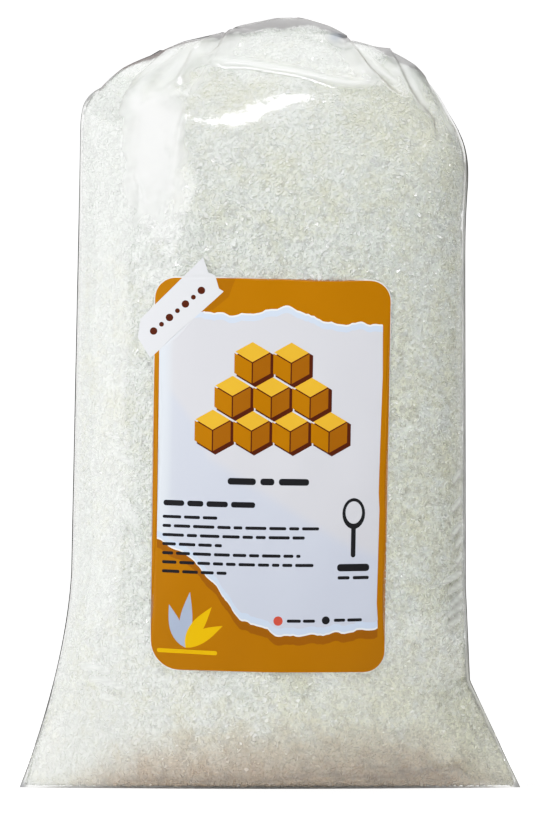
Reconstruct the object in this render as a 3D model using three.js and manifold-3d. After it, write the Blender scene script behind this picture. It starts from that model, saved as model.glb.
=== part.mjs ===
// A clear plastic bag of granulated sugar, standing on its flat base, with a paper label on its front.
// The bag is a flat tube of film, welded across the bottom. Filled, its sides draw in, and the two ends of the
// weld stay out as pointed ears at floor level. The mouth is folded narrow, passed over the top and laid down
// the back as a flat flap. The label is one die-cut sheet: a rounded rectangle with a short strip across a corner.
// Millimetres, +Z up, front towards -Y, origin at the middle of the base.
import * as THREE from "three";
import { mergeVertices } from "three/addons/utils/BufferGeometryUtils.js";
import Module from "manifold-3d";

const { lerp, smoothstep, clamp, degToRad } = THREE.MathUtils;

// Driving dimensions of the filled bag.
const HEIGHT = 231.4;
const EAR_REACH = 75; // from the middle to the tip of an ear, half the width of the empty bag
const HALF_DEPTH = 28.4;

// The sides, seen from the front. The left one leans in, the right one swells at its shoulder.
const LEFT_SIDE = { atBase: 60.9, lean: 0.019 };
const RIGHT_SIDE = { atBase: 58.8, swell: 1.1, swellHeight: 188, swellSpread: 14 };
const LEFT_EAR = { height: 66, power: 1.7 };
const RIGHT_EAR = { height: 32, tailHeight: 60, tailShare: 0.16 };
const LEFT_SHOULDER = { start: 196, top: 227, power: 2, root: 2 };
const RIGHT_SHOULDER = { start: 180, top: 227.5, power: 2.5, root: 2.2 };

// The neck is the narrow folded film that passes over the top and stands up a little from the shoulders.
const NECK = { start: 226, halfWidth: 17, offset: 5.5, power: 1.6, round: 0.8 };

// The depth, seen from the side: a flat foot, a rounded heel, a body that is fullest low down, a domed top.
const FOOT_SHARE = 0.7;
const HEEL_HEIGHT = 26;
const BELLY = { height: 60, span: 170, share: 0.035 };
const DOME = { start: 170, power: 2, round: 0.77 };

// A section is a lens with pointed ends at the floor and a rounded rectangle higher up.
const SETTLED_HEIGHT = 55;
const LENS = { power: 1.8, round: 1 };
const BODY = { power: 2.6, round: 0.45 };

// The film is still creased down both sides, where the empty tube was pressed flat.
const SIDE_CREASE = 1.4;

// The mouth is gathered by folds that run out and down from the two ends of the neck. Beyond each fold's line the
// film lies deeper by a step, and on the near side the step fades out over the reach.
const FRONT_FOLDS = [
  { x: -12.9, z: 225.4, spread: -1.15, end: 206, step: 2.4, reach: 15 },
  { x: -17, z: 224.4, spread: -1.6, end: 203, step: 1.6, reach: 6 },
  { x: -22.6, z: 220.5, spread: -0.8, end: 203, step: 1.1, reach: 5 },
  { x: 22.2, z: 225.2, spread: 0.8, end: 200, step: 2.6, reach: 15 },
  { x: 38.4, z: 217.5, spread: 0.5, end: 192, step: 1.5, reach: 7 },
];
const BACK_FOLDS = [
  { x: -11, z: 225.4, spread: -1, end: 196, step: 2, reach: 12 },
  { x: -25, z: 222, spread: -1, end: 198, step: 1.4, reach: 7 },
  { x: 21.5, z: 225.2, spread: 1, end: 196, step: 2, reach: 12 },
  { x: 36, z: 219, spread: 0.7, end: 196, step: 1.4, reach: 7 },
];
const FOLD_BLUR = 1.8;

const ROWS = 42;
const COLUMNS = 64;
const FINE_STEPS = 400; // for measuring a section's length

const LABEL = { width: 70.2, height: 117, corner: 6.2, x: 0.2, z: 93.4, turn: -1.1, gap: 0.3, thickness: 0.5 };
const STRIP = { length: 30, width: 10.4, x: -25.6, z: 144.4, turn: 42, notch: 0.8, notches: 3 };
const FLAP = { topWidth: 34, endWidth: 40, top: 227, bottom: 181, x: 5.5, sink: 0.5, thickness: 1.2, corner: 3 };
const SHEET_STEP = 4.5; // length of a facet on the label and the flap

const FRONT = -1;
const BACK = 1;

// Half the width of the bag at a height, on the left side.
function leftEdge(z) {
  const ear = Math.pow(Math.max(0, 1 - z / LEFT_EAR.height), LEFT_EAR.power);
  const side = LEFT_SIDE.atBase - LEFT_SIDE.lean * z;
  const body = side + (EAR_REACH - LEFT_SIDE.atBase) * ear;
  return Math.max(body * shoulder(z, LEFT_SHOULDER), neck(z) - NECK.offset);
}

// The same on the right side. Its ear is straight-edged, with a short fold above it.
function rightEdge(z) {
  const ramp = (height) => Math.max(0, 1 - z / height);
  const ear = lerp(ramp(RIGHT_EAR.height), ramp(RIGHT_EAR.tailHeight), RIGHT_EAR.tailShare);
  const swell = RIGHT_SIDE.swell * Math.exp(-(((z - RIGHT_SIDE.swellHeight) / RIGHT_SIDE.swellSpread) ** 2));
  const body = RIGHT_SIDE.atBase + swell + (EAR_REACH - RIGHT_SIDE.atBase) * ear;
  return Math.max(body * shoulder(z, RIGHT_SHOULDER), neck(z) + NECK.offset);
}

// The share of the width left at a height by a rounded shoulder.
function shoulder(z, { start, top, power, root }) {
  if (z >= top) return Number.NEGATIVE_INFINITY;
  const share = Math.max(0, (z - start) / (top - start));
  return Math.pow(1 - Math.pow(share, power), 1 / root);
}

function neck(z) {
  const share = clamp((z - NECK.start) / (HEIGHT - NECK.start), 0, 1);
  return NECK.halfWidth * Math.pow(1 - Math.pow(share, NECK.power), NECK.round);
}

// Half the depth of the bag at a height, at the middle of its width.
function halfDepth(z) {
  const heel = Math.sqrt(1 - (1 - Math.min(1, z / HEEL_HEIGHT)) ** 2);
  const foot = lerp(FOOT_SHARE, 1, heel);
  const belly = 1 + BELLY.share * Math.cos((Math.PI * (z - BELLY.height)) / BELLY.span);
  const share = clamp((z - DOME.start) / (HEIGHT - DOME.start), 0, 1);
  return HALF_DEPTH * foot * belly * Math.pow(1 - Math.pow(share, DOME.power), DOME.round);
}

// Share of the half depth at a share of the half width.
function sectionShape(share, z) {
  const settled = smoothstep(z, 0, SETTLED_HEIGHT);
  const power = lerp(LENS.power, BODY.power, settled);
  const round = lerp(LENS.round, BODY.round, settled);
  return Math.pow(Math.max(0, 1 - Math.pow(Math.abs(share), power)), round);
}

// How far the folded film stands out at a place on the front or the back.
function foldRelief(x, z, side) {
  let relief = 0;
  for (const fold of side === FRONT ? FRONT_FOLDS : BACK_FOLDS) {
    const line = fold.x + fold.spread * (fold.z - z);
    const inward = (line - x) * Math.sign(fold.spread);
    const edge = smoothstep(inward, -FOLD_BLUR, 0) * Math.exp(-Math.max(0, inward) / fold.reach);
    relief += fold.step * edge * smoothstep(z, fold.end, fold.z);
  }
  return relief;
}

// The two edges of the section at a height, and how far its rounded body stops short of them.
function sectionEdges(z) {
  const crease = SIDE_CREASE * smoothstep(z, 0, SETTLED_HEIGHT) * (1 - smoothstep(z, DOME.start, NECK.start));
  return { left: -leftEdge(z), right: rightEdge(z), crease };
}

// The film's distance from the middle plane at a place on the front or the back.
function skinDepth(x, z, side) {
  const { left, right, crease } = sectionEdges(z);
  const share = x < 0 ? x / (left + crease) : x / (right - crease);
  const shape = sectionShape(share, z);
  return (halfDepth(z) + foldRelief(x, z, side)) * shape;
}

// One side of the section at a height, from the left crease to the right one, in equal steps along the film.
function panelRow(z, side, steps) {
  const { left, right, crease } = sectionEdges(z);
  const fine = [];
  for (let i = 0; i <= FINE_STEPS; i++) {
    const x = lerp(left + crease, right - crease, (1 - Math.cos((Math.PI * i) / FINE_STEPS)) / 2);
    fine.push(new THREE.Vector2(x, side * skinDepth(x, z, side)));
  }
  const along = [0];
  for (let i = 1; i < fine.length; i++) {
    along.push(along[i - 1] + fine[i].distanceTo(fine[i - 1]));
  }
  const row = [new THREE.Vector3(left, 0, z)];
  let at = 1;
  for (let step = 1; step < steps; step++) {
    const wanted = (along[FINE_STEPS] * step) / steps;
    while (at < FINE_STEPS && along[at] < wanted) at++;
    const share = (wanted - along[at - 1]) / (along[at] - along[at - 1]);
    const point = fine[at - 1].clone().lerp(fine[at], clamp(share, 0, 1));
    row.push(new THREE.Vector3(point.x, point.y, z));
  }
  row.push(new THREE.Vector3(right, 0, z));
  return row;
}

// Points and triangles gathered into one geometry.
class Faces {
  constructor() {
    this.points = [];
    this.triangles = [];
  }

  add(point) {
    this.points.push(point.x, point.y, point.z);
    return this.points.length / 3 - 1;
  }

  quad(a, b, c, d) {
    this.triangles.push(a, b, c, a, c, d);
  }

  geometry() {
    const made = new THREE.BufferGeometry();
    made.setAttribute("position", new THREE.Float32BufferAttribute(this.points, 3));
    made.setIndex(this.triangles);
    return made;
  }
}

// The filled bag as one closed skin: rings from the floor to just under the top, a flat base and a closing point.
function bagGeometry() {
  const faces = new Faces();
  const half = COLUMNS / 2;
  const rings = [];
  for (let row = 0; row < ROWS; row++) {
    const z = (HEIGHT / 2) * (1 - Math.cos((Math.PI * row) / ROWS));
    const front = panelRow(z, FRONT, half);
    const back = panelRow(z, BACK, half).reverse();
    const ring = [...front, ...back.slice(1, -1)];
    rings.push(ring.map((point) => faces.add(point)));
  }
  for (let row = 0; row + 1 < ROWS; row++) {
    for (let i = 0; i < COLUMNS; i++) {
      const next = (i + 1) % COLUMNS;
      faces.quad(rings[row][i], rings[row][next], rings[row + 1][next], rings[row + 1][i]);
    }
  }
  const base = rings[0];
  faces.triangles.push(base[0], base[COLUMNS - 1], base[1]);
  for (let i = 1; i < half - 1; i++) {
    faces.quad(base[i], base[COLUMNS - i], base[COLUMNS - i - 1], base[i + 1]);
  }
  faces.triangles.push(base[half - 1], base[half + 1], base[half]);
  const top = faces.add(new THREE.Vector3(NECK.offset, 0, HEIGHT));
  const last = rings[ROWS - 1];
  for (let i = 0; i < COLUMNS; i++) {
    faces.triangles.push(last[i], last[(i + 1) % COLUMNS], top);
  }
  return faces.geometry();
}

// A sheet that follows the front or the back of the bag over a rectangle, between two distances from the film.
function sheetGeometry({ left, right, bottom, top }, side, inner, outer) {
  const faces = new Faces();
  const across = Math.ceil((right - left) / SHEET_STEP);
  const up = Math.ceil((top - bottom) / SHEET_STEP);
  const layer = (distance) => {
    const grid = [];
    for (let j = 0; j <= up; j++) {
      const z = lerp(bottom, top, j / up);
      grid.push([]);
      for (let i = 0; i <= across; i++) {
        const x = lerp(left, right, i / across);
        grid[j].push(faces.add(new THREE.Vector3(x, side * (skinDepth(x, z, side) + distance), z)));
      }
    }
    return grid;
  };
  // On the front side the outer layer is the nearer one to -Y, and on the back the further one.
  const [near, far] = side === FRONT ? [layer(outer), layer(inner)] : [layer(inner), layer(outer)];
  for (let j = 0; j < up; j++) {
    for (let i = 0; i < across; i++) {
      faces.quad(near[j][i], near[j][i + 1], near[j + 1][i + 1], near[j + 1][i]);
      faces.quad(far[j][i], far[j + 1][i], far[j + 1][i + 1], far[j][i + 1]);
    }
    faces.quad(near[j][0], near[j + 1][0], far[j + 1][0], far[j][0]);
    faces.quad(near[j][across], far[j][across], far[j + 1][across], near[j + 1][across]);
  }
  for (let i = 0; i < across; i++) {
    faces.quad(near[0][i], far[0][i], far[0][i + 1], near[0][i + 1]);
    faces.quad(near[up][i], near[up][i + 1], far[up][i + 1], far[up][i]);
  }
  return faces.geometry();
}

// A flat outline drawn in X and Z, pushed right through the bag along Y.
function prismGeometry(shape) {
  const length = 4 * HALF_DEPTH;
  const prism = new THREE.ExtrudeGeometry(shape, { depth: length, bevelEnabled: false, curveSegments: 6 });
  return prism.rotateX(Math.PI / 2).translate(0, length / 2, 0);
}

function roundedRectangle(width, height, corner) {
  const x = width / 2;
  const y = height / 2;
  const shape = new THREE.Shape();
  shape.moveTo(-x + corner, -y);
  shape.lineTo(x - corner, -y);
  shape.absarc(x - corner, -y + corner, corner, -Math.PI / 2, 0);
  shape.lineTo(x, y - corner);
  shape.absarc(x - corner, y - corner, corner, 0, Math.PI / 2);
  shape.lineTo(-x + corner, y);
  shape.absarc(-x + corner, y - corner, corner, Math.PI / 2, Math.PI);
  shape.lineTo(-x, -y + corner);
  shape.absarc(-x + corner, -y + corner, corner, Math.PI, 1.5 * Math.PI);
  return shape;
}

// A short strip whose two ends are torn into notches.
function stripShape({ length, width, notch, notches }) {
  const shape = new THREE.Shape();
  const x = length / 2;
  const steps = 2 * notches;
  const end = (sign) => {
    for (let i = 0; i <= steps; i++) {
      const inward = i % 2 ? notch : 0;
      const y = sign * lerp(-width / 2, width / 2, i / steps);
      if (sign > 0 && i === 0) shape.moveTo(x, y);
      else shape.lineTo(sign * (x - inward), y);
    }
  };
  end(1);
  end(-1);
  return shape;
}

// The flap is the bag's own mouth: a trapezium that widens a little towards its free end.
function flapShape({ topWidth, endWidth, top, bottom, x, corner }) {
  const shape = new THREE.Shape();
  shape.moveTo(x - topWidth / 2, top);
  shape.lineTo(x - endWidth / 2, bottom + corner);
  shape.lineTo(x - endWidth / 2 + corner, bottom);
  shape.lineTo(x + endWidth / 2 - corner, bottom);
  shape.lineTo(x + endWidth / 2, bottom + corner);
  shape.lineTo(x + topWidth / 2, top);
  shape.closePath();
  return shape;
}

const wasm = await Module();
wasm.setup();

function solid(geometry) {
  geometry.deleteAttribute("normal");
  geometry.deleteAttribute("uv");
  const merged = mergeVertices(geometry, 1e-4);
  return new wasm.Manifold(
    new wasm.Mesh({
      numProp: 3,
      vertProperties: merged.getAttribute("position").array,
      triVerts: new Uint32Array(merged.index.array),
    }),
  );
}

function geometryOf(made) {
  const mesh = made.getMesh();
  const geometry = new THREE.BufferGeometry();
  geometry.setAttribute("position", new THREE.BufferAttribute(mesh.vertProperties, mesh.numProp));
  geometry.setIndex(new THREE.BufferAttribute(mesh.triVerts, 1));
  geometry.computeVertexNormals();
  return geometry;
}

function named(name, geometry, material) {
  const mesh = new THREE.Mesh(geometry, material);
  mesh.name = name;
  return mesh;
}

function sugarBag() {
  const reach = FLAP.endWidth / 2;
  const area = { left: FLAP.x - reach - 2, right: FLAP.x + reach + 2, bottom: FLAP.bottom - 2, top: 225.5 };
  const sheet = solid(sheetGeometry(area, BACK, -FLAP.sink, FLAP.thickness));
  const flap = sheet.intersect(solid(prismGeometry(flapShape(FLAP))));
  const film = new THREE.MeshStandardMaterial({ color: 0xe6e8dc, roughness: 0.35, metalness: 0 });
  return named("sugar_bag", geometryOf(solid(bagGeometry()).add(flap)), film);
}

function label() {
  const area = { left: -42, right: 39, bottom: 32, top: 160 };
  const sheet = solid(sheetGeometry(area, FRONT, LABEL.gap, LABEL.gap + LABEL.thickness));
  const card = prismGeometry(roundedRectangle(LABEL.width, LABEL.height, LABEL.corner));
  card.rotateY(degToRad(-LABEL.turn)).translate(LABEL.x, 0, LABEL.z);
  const strip = prismGeometry(stripShape(STRIP));
  strip.rotateY(degToRad(-STRIP.turn)).translate(STRIP.x, 0, STRIP.z);
  const outline = solid(card).add(solid(strip));
  const paper = new THREE.MeshStandardMaterial({ color: 0xbf7b05, roughness: 0.5, metalness: 0 });
  return named("label", geometryOf(sheet.intersect(outline)), paper);
}

const bag = new THREE.Group();
bag.add(sugarBag(), label());

export default bag;
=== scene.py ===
import math

import bpy
import numpy as np
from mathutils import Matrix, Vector
from mathutils.geometry import delaunay_2d_cdt


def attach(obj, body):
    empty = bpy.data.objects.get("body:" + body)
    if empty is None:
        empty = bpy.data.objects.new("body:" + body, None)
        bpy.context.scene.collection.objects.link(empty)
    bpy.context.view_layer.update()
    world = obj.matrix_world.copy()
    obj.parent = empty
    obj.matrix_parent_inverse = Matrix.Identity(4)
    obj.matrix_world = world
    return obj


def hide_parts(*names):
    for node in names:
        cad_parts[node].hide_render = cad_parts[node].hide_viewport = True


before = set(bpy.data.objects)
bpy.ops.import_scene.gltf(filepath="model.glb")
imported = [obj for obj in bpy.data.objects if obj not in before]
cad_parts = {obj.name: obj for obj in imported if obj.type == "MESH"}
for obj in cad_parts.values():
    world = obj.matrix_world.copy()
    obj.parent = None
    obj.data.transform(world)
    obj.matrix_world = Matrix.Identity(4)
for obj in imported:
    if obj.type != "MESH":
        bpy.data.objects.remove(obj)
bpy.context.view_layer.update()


# -----------------------------------------------------------------------------
# The studio. The bag stands on a round pale floor in a white room. A tall soft window stands to the left, a
# lamp hangs above the front, and the ceiling and the room give weaker light from the right and from behind.

CAMERA_DISTANCE = 1.6
CAMERA_HEIGHT = 0.035
VIEW_HEIGHT = 0.2448  # what the frame takes in at the bag, in metres
VIEW_MIDDLE = 0.1137
SENSOR_HEIGHT = 36.0


def placed(name, data, place=(0.0, 0.0, 0.0), target=None):
    """Put an object in the scene. A camera or a lamp, whose own axis is -Z, is turned to its target."""
    made = bpy.data.objects.new(name, data)
    made.location = place
    if target is not None:
        made.rotation_euler = (Vector(target) - made.location).to_track_quat("-Z", "Y").to_euler()
    bpy.context.collection.objects.link(made)
    return made


lens = bpy.data.cameras.new("front_camera")
lens.sensor_fit = "VERTICAL"
lens.sensor_height = SENSOR_HEIGHT
lens.lens = SENSOR_HEIGHT * CAMERA_DISTANCE / VIEW_HEIGHT
lens.clip_start = 0.05
camera = placed("front_camera", lens, (0.0, -CAMERA_DISTANCE, CAMERA_HEIGHT), (0.0, 0.0, VIEW_MIDDLE))
bpy.context.scene.camera = camera


def lamp(name, place, target, width, height, power, colour=(1.0, 1.0, 1.0), shape="RECTANGLE"):
    light = bpy.data.lights.new(name, "AREA")
    light.shape, light.size, light.size_y = shape, width, height
    light.energy, light.color = power, colour
    placed(name, light, place, target)


lamp("window", (-0.68, -0.96, 0.80), (0.0, 0.0, 0.14), 0.6, 1.1, 8.3, (0.99, 0.995, 1.0))
lamp("left_room", (-1.05, -0.30, 0.35), (0.0, 0.0, 0.12), 0.9, 0.9, 5.3, (1.0, 0.998, 0.99))
lamp("left_rear_room", (-1.03, 0.55, 0.35), (0.0, 0.0, 0.12), 0.9, 0.9, 2.4)
lamp("left_wall", (-0.56, 1.22, 0.35), (0.0, 0.0, 0.12), 0.9, 0.9, 2.2)
lamp("right_wall", (0.75, 1.1, 0.35), (0.0, 0.0, 0.12), 0.9, 0.9, 0.8)
lamp("top_lamp", (-0.012, -0.385, 0.585), (0.0, 0.0, 0.18), 0.13, 0.042, 0.46, shape="ELLIPSE")
lamp("ceiling", (-0.1, -0.25, 1.1), (0.0, 0.0, 0.2), 0.8, 0.5, 2.8)
lamp("right_ceiling", (0.5, -0.45, 1.2), (0.0, 0.0, 0.16), 0.6, 0.6, 3.3)
lamp("right_top", (0.75, -0.25, 0.85), (0.0, 0.0, 0.18), 0.5, 0.5, 1.1)
lamp("right_room", (1.0, -0.6, 0.4), (0.0, 0.0, 0.1), 0.9, 0.9, 0.5, (1.0, 1.0, 0.85))
lamp("rear_ceiling", (0.0, 0.5, 1.15), (0.0, 0.2, 0.0), 1.2, 0.8, 8.0)
lamp("rear_room", (0.3, 1.4, 0.75), (0.0, 0.0, 0.12), 1.0, 0.8, 4.0)


def operator(operation, swapped=False):
    """A method of Value that does a sum with a node."""

    def method(first, second):
        pair = (second, first) if swapped else (first, second)
        return first.nodes.node("Math", {"operation": operation}, *pair)

    return method


class Value:
    """A socket that can be used in sums and products."""

    def __init__(self, nodes, socket):
        self.nodes, self.socket = nodes, socket

    __add__, __radd__ = operator("ADD"), operator("ADD", True)
    __sub__, __rsub__ = operator("SUBTRACT"), operator("SUBTRACT", True)
    __mul__, __rmul__ = operator("MULTIPLY"), operator("MULTIPLY", True)
    __pow__ = operator("POWER")

    def clamped(self):
        return self.nodes.node("Math", {"operation": "ADD", "use_clamp": True}, self, 0.0)

    def other(self, name):
        """Another output of the same node."""
        return Value(self.nodes, self.socket.node.outputs[name])


class Nodes:
    """A node tree that is built one call at a time."""

    def __init__(self, tree):
        self.tree = tree
        tree.nodes.clear()

    def node(self, kind, settings=None, *values, output=0, **named):
        """Make a node of a type with its settings, then fill its sockets by order or by name."""
        made = self.tree.nodes.new(kind if "Node" in kind else "ShaderNode" + kind)
        for setting, value in (settings or {}).items():
            setattr(made, setting, value)
        open_sockets = [x for x in made.inputs if x.enabled]
        sockets = list(zip(open_sockets, values))
        for key, value in named.items():
            sockets.append((next(x for x in open_sockets if x.name == key.replace("_", " ")), value))
        for socket, value in sockets:
            if isinstance(value, Value):
                self.tree.links.new(value.socket, socket)
            else:
                socket.default_value = value
        found = [x for x in made.outputs if x.enabled]
        return Value(self, found[output]) if found else None


class Finish(Nodes):
    """The nodes of a new material."""

    def __init__(self, name):
        self.material = bpy.data.materials.new(name)
        self.material.use_nodes = True
        super().__init__(self.material.node_tree)

    def place(self):
        """Where a point is on the object, and its X and its Z."""
        place = self.node("TexCoord", output=3)
        apart = self.node("SeparateXYZ", {}, place)
        return place, apart, apart.other("Z")

    def stored(self, name, output=0):
        """A value that the mesh carries: its colour, or a plain number (2), or the cover (3)."""
        return self.node("Attribute", {"attribute_name": name}, output=output)

    def noise(self, place, scale, detail=2.0):
        return self.node("TexNoise", Vector=place, Scale=scale, Detail=detail)

    def blend(self, share, first, second):
        return self.node("Mix", {"data_type": "RGBA"}, Factor=share, A=first, B=second)

    def close(self, surface):
        self.node("OutputMaterial", {}, surface)
        return self.material


ROOM_LIGHT = 0.16  # the light that the room itself gives
ROOM_WHITE, FLOOR_GLOW = 1.6, 0.45  # how bright the room looks, and what the floor near the bag gets on top
WHITE = (1.0, 1.0, 1.0, 1.0)
world = bpy.data.worlds.new("room")
bpy.context.scene.world = world
world.use_nodes = True
room = Nodes(world.node_tree)
dim = room.node("Background", {}, (0.85, 0.85, 0.83, 1.0), ROOM_LIGHT)
bright = room.node("Background", {}, WHITE, ROOM_WHITE)
by_camera = room.node("LightPath")  # the room looks brighter than the light it gives
room.node("OutputWorld", {}, room.node("MixShader", {}, by_camera, dim, bright))

# The camera's response: even up to a middle tone, then rolling off gently towards white.
RESPONSE = ((0.55, 0.55), (0.8, 0.755), (1.0, 0.865), (1.15, 0.935), (1.3, 0.98), (1.5, 1.0))
view = bpy.context.scene.view_settings
view.view_transform = "Standard"
view.use_curve_mapping = True
view.curve_mapping.clip_max_x = RESPONSE[-1][0]
response = view.curve_mapping.curves[3]
response.points[1].location = RESPONSE[-1]
for light_in, light_out in RESPONSE[:-1]:
    response.points.new(light_in, light_out)
view.curve_mapping.update()


FLOOR_RADIUS, FLOOR_STEPS = 0.9, 96
GLOW_FROM, GLOW_TO = 0.11, 0.4  # distances from the bag over which the glow grows


def pale_floor():
    """A white disc that glows a little and goes over into the white of the room away from the bag."""
    turns = [2 * math.pi * i / FLOOR_STEPS for i in range(FLOOR_STEPS)]
    rim = [(FLOOR_RADIUS * math.cos(t), FLOOR_RADIUS * math.sin(t), 0.0) for t in turns]
    mesh = bpy.data.meshes.new("floor")
    mesh.from_pydata(rim, [], [list(range(FLOOR_STEPS))])
    made = Finish("floor_paint")
    far = made.node("VectorMath", {"operation": "LENGTH"}, made.place()[0])
    reach = {"From_Min": GLOW_FROM, "From_Max": GLOW_TO, "To_Min": FLOOR_GLOW, "To_Max": ROOM_WHITE}
    glow = made.node("MapRange", {"interpolation_type": "SMOOTHSTEP"}, far, **reach) * made.node("LightPath")
    light = {"Emission_Color": WHITE, "Emission_Strength": glow}
    paint = made.node("BsdfPrincipled", Base_Color=(0.92, 0.915, 0.905, 1.0), Roughness=0.9, **light)
    mesh.materials.append(made.close(paint))
    return placed("floor", mesh)


pale_floor()


# -----------------------------------------------------------------------------
# The film: a flat polythene tube 15 cm wide, welded across its foot and filled. It lies close on the sugar,
# stays creased down both sides, ends in two flat ears at the foot, and is gathered into folds at the neck.
# It is one closed skin, made ring by ring from the foot to the peak. Lengths are millimetres from here on.

MM = 0.001
BAG_HEIGHT = 231.4
EAR_REACH = 75.0  # from the middle to the tip of an ear
LEFT_SIDE, RIGHT_SIDE = 60.9, 58.8  # from the middle to the sides, just above the foot
LEFT_LEAN = 0.019  # how the left side leans in
HALF_DEPTH = 28.4
LEFT_CREASE, RIGHT_CREASE = 0.35, 0.7
RIM_DEPTH, RIM_WIDTH = 0.9, 1.0
NECK_HALF, NECK_OFFSET = 17.0, 5.5
NECK_START = 226.0
DOME_START = 170.0
SETTLED_HEIGHT = 55.0  # from here up the section keeps one shape
HEEL_HEIGHT = 26.0

# Where the pulled film stands proud of or dips below the smooth dome, seen from the front: across, and up.
PULLS = (
    (-60, 0), (-58.4, 2.6), (-56.4, 4.0), (-51, 0.6), (-44.4, 0.9), (-36, -0.3), (-26, 0.5), (-14.5, -0.3),
    (-10, 0.2), (10, 0.1), (18, -0.4), (22.4, -1.3), (25, -0.2), (31.5, 0.4), (36.3, 1.3), (44, 1.3),
    (47, 0.2), (51, -0.5), (54, -1.6), (57, -1.2), (60, 0),
)


def ease(value, low, high):
    share = np.clip((value - low) / (high - low), 0.0, 1.0)
    return share * share * (3.0 - 2.0 * share)


def ramp(z, height):
    return np.maximum(0.0, 1.0 - z / height)


def line_height(x, points):
    """How high a line through points runs at a place across."""
    return np.interp(x, *np.array(points, float).T)


def shoulder(z, start, top, power, root):
    """The share of its width that a side keeps: all at the start of the shoulder, and none at its top."""
    share = np.clip((z - start) / (top - start), 0.0, 1.0)
    return np.where(z >= top, -1.0, (1.0 - share**power) ** (1.0 / root))


def neck(z):
    share = np.clip((z - NECK_START) / (BAG_HEIGHT - NECK_START), 0.0, 1.0)
    return NECK_HALF * (1.0 - share**1.6) ** 0.8


def left_edge(z):
    side = LEFT_SIDE - LEFT_LEAN * z + (EAR_REACH - LEFT_SIDE) * ramp(z, 66.0) ** 1.7
    return np.maximum(side * shoulder(z, 196.0, 227.0, 2.0, 2.0), neck(z) - NECK_OFFSET)


def right_edge(z):
    ear = ramp(z, 32.0) * 0.84 + ramp(z, 60.0) * 0.16
    bulge = 1.1 * np.exp(-(((z - 188.0) / 14.0) ** 2))  # under the shoulder
    side = RIGHT_SIDE + bulge + (EAR_REACH - RIGHT_SIDE) * ear
    return np.maximum(side * shoulder(z, 180.0, 227.5, 2.5, 2.2), neck(z) + NECK_OFFSET)


def half_depth(z):
    heel = np.sqrt(1.0 - (1.0 - np.minimum(1.0, z / HEEL_HEIGHT)) ** 2)
    belly = 1.0 + 0.035 * np.cos(math.pi * (z - 60.0) / 170.0)
    share = np.clip((z - DOME_START) / (BAG_HEIGHT - DOME_START), 0.0, 1.0)
    return HALF_DEPTH * (0.7 + 0.3 * heel) * belly * (1.0 - share * share) ** 0.77


def section_shape(share, z):
    settled = ease(z, 0.0, SETTLED_HEIGHT)
    power = 1.8 + (2.6 - 1.8) * settled  # nearly a lens at the foot, and a fuller oval above
    root = 1.0 + (0.45 - 1.0) * settled
    return np.maximum(0.0, 1.0 - np.abs(share) ** power) ** root


def side_creases(z):
    """Widths of the flat crease at the left and of the one at the right."""
    share = ease(z, 0.0, SETTLED_HEIGHT) * (1.0 - ease(z, DOME_START, NECK_START))
    return LEFT_CREASE * share, RIGHT_CREASE * share


def skin_depth(x, z):
    """Distance of the bare form from its middle plane at a place seen from the front.

    Even where the bag thins out to its sides, a grain of sugar fits between the two layers of film.
    """
    left, right = side_creases(z)
    reach = np.where(x < 0, left_edge(z) - left, right_edge(z) - right)
    deep = half_depth(z)
    rim = np.clip((reach - np.abs(x)) / RIM_WIDTH, 0.0, 1.0)
    pocket = np.minimum(RIM_DEPTH, 0.9 * deep) * np.sqrt(1.0 - (1.0 - rim) ** 2)
    return np.maximum(deep * section_shape(x / np.maximum(reach, 1e-6), z), pocket)


LEAST_CREASE = 0.35  # the mesh keeps a crease this wide where the film has none


def bag_ring(z, steps, short=None):
    """A level ring of the form: the front from left to right, then the back.

    The film's ring has a flat crease at each side. A ring that stops short has none, as the sugar has.
    """
    creases = np.array(side_creases(z), float)
    if short is None:
        creases = np.maximum(creases, LEAST_CREASE)
        folded = np.array([[0.0], [0.3], [0.6]]) * creases
    else:
        creases = creases + short
        folded = np.zeros((0, 2))
    left, right = -left_edge(z), right_edge(z)
    turn = np.linspace(0.0, math.pi, 601)
    x = (left + creases[0]) + (right - left - creases.sum()) * (1.0 - np.cos(turn)) / 2.0
    y = skin_depth(x, z)
    along = np.concatenate(([0.0], np.cumsum(np.hypot(np.diff(x), np.diff(y)))))
    wanted = np.linspace(0.0, along[-1], steps + 1 - 2 * len(folded))
    x = np.concatenate((left + folded[:, 0], np.interp(wanted, along, x), right - folded[::-1, 1]))
    y = np.concatenate((folded[:, 0] * 0.0, np.interp(wanted, along, y), folded[:, 1] * 0.0))
    y[1:-1] = np.maximum(y[1:-1], 0.06)
    y[[0, -1]] = 0.0
    front, back = (np.stack([x, side * y, np.full(steps + 1, z)], axis=1) for side in (-1.0, 1.0))
    return np.concatenate([front[:-1], back[:0:-1]])


LAST_RING = 230.9


def ring_heights(count, finer):
    """Heights of rings, evenly spaced along the profile of the bag but closer together near the neck."""
    z = np.linspace(0.0, LAST_RING, 4001)
    widest = left_edge(z) + right_edge(z)
    slope = np.hypot(np.hypot(np.diff(z), np.diff(half_depth(z))), 0.35 * np.diff(widest))
    slope *= 1.0 + finer * ease(z[1:], 185.0, 205.0)
    along = np.concatenate(([0.0], np.cumsum(slope)))
    return np.interp(np.linspace(0.0, along[-1], count), along, z)


def ring_normals(rings):
    """Outward direction at each point of a stack of rings."""
    around = np.roll(rings, -1, axis=1) - np.roll(rings, 1, axis=1)
    up = np.gradient(rings, axis=0)
    normal = np.cross(around, up)
    return normal / np.maximum(np.linalg.norm(normal, axis=2, keepdims=True), 1e-9)


def pulled(rings):
    """The rings with the pulls of the neck: places along the crest move up or down."""
    near_crest = ease(rings[..., 2], 178.0, 204.0) * ease(np.abs(rings[..., 1]), 17.0, 3.0)
    rings[..., 2] += line_height(rings[..., 0], PULLS) * near_crest
    return rings


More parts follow.
